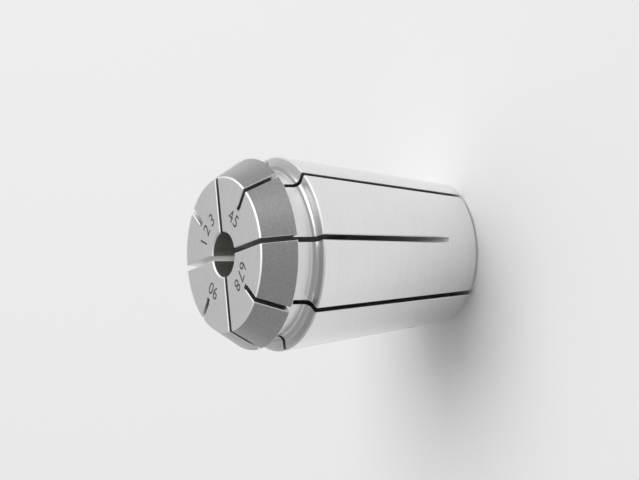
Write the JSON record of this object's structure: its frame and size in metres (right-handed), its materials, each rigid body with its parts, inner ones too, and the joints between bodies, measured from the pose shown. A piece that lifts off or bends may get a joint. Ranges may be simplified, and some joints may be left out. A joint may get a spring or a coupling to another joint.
{
  "type": "er collet",
  "caption": "Slotted tapered spring collet with a nose cone, an extraction groove, a round shank bore and an inner drive square; it grips a tool shank in a collet chuck.",
  "frame": {"origin": "centre of the small rear face, on the axis; the collet stands on that face", "axes": "+Z along the axis from the small rear face to the front face; the four slots sawn from the front lie on the X and Y axes, the four sawn from the rear at 45 degrees to them"},
  "size_m": [0.026, 0.026, 0.034],
  "materials": {
    "ground_steel": "fine ground and deburred spring steel, bright on the taper, satin on the nose"
  },
  "bodies": {
    "root": {"collet": "ground_steel"}
  },
  "joints": []
}
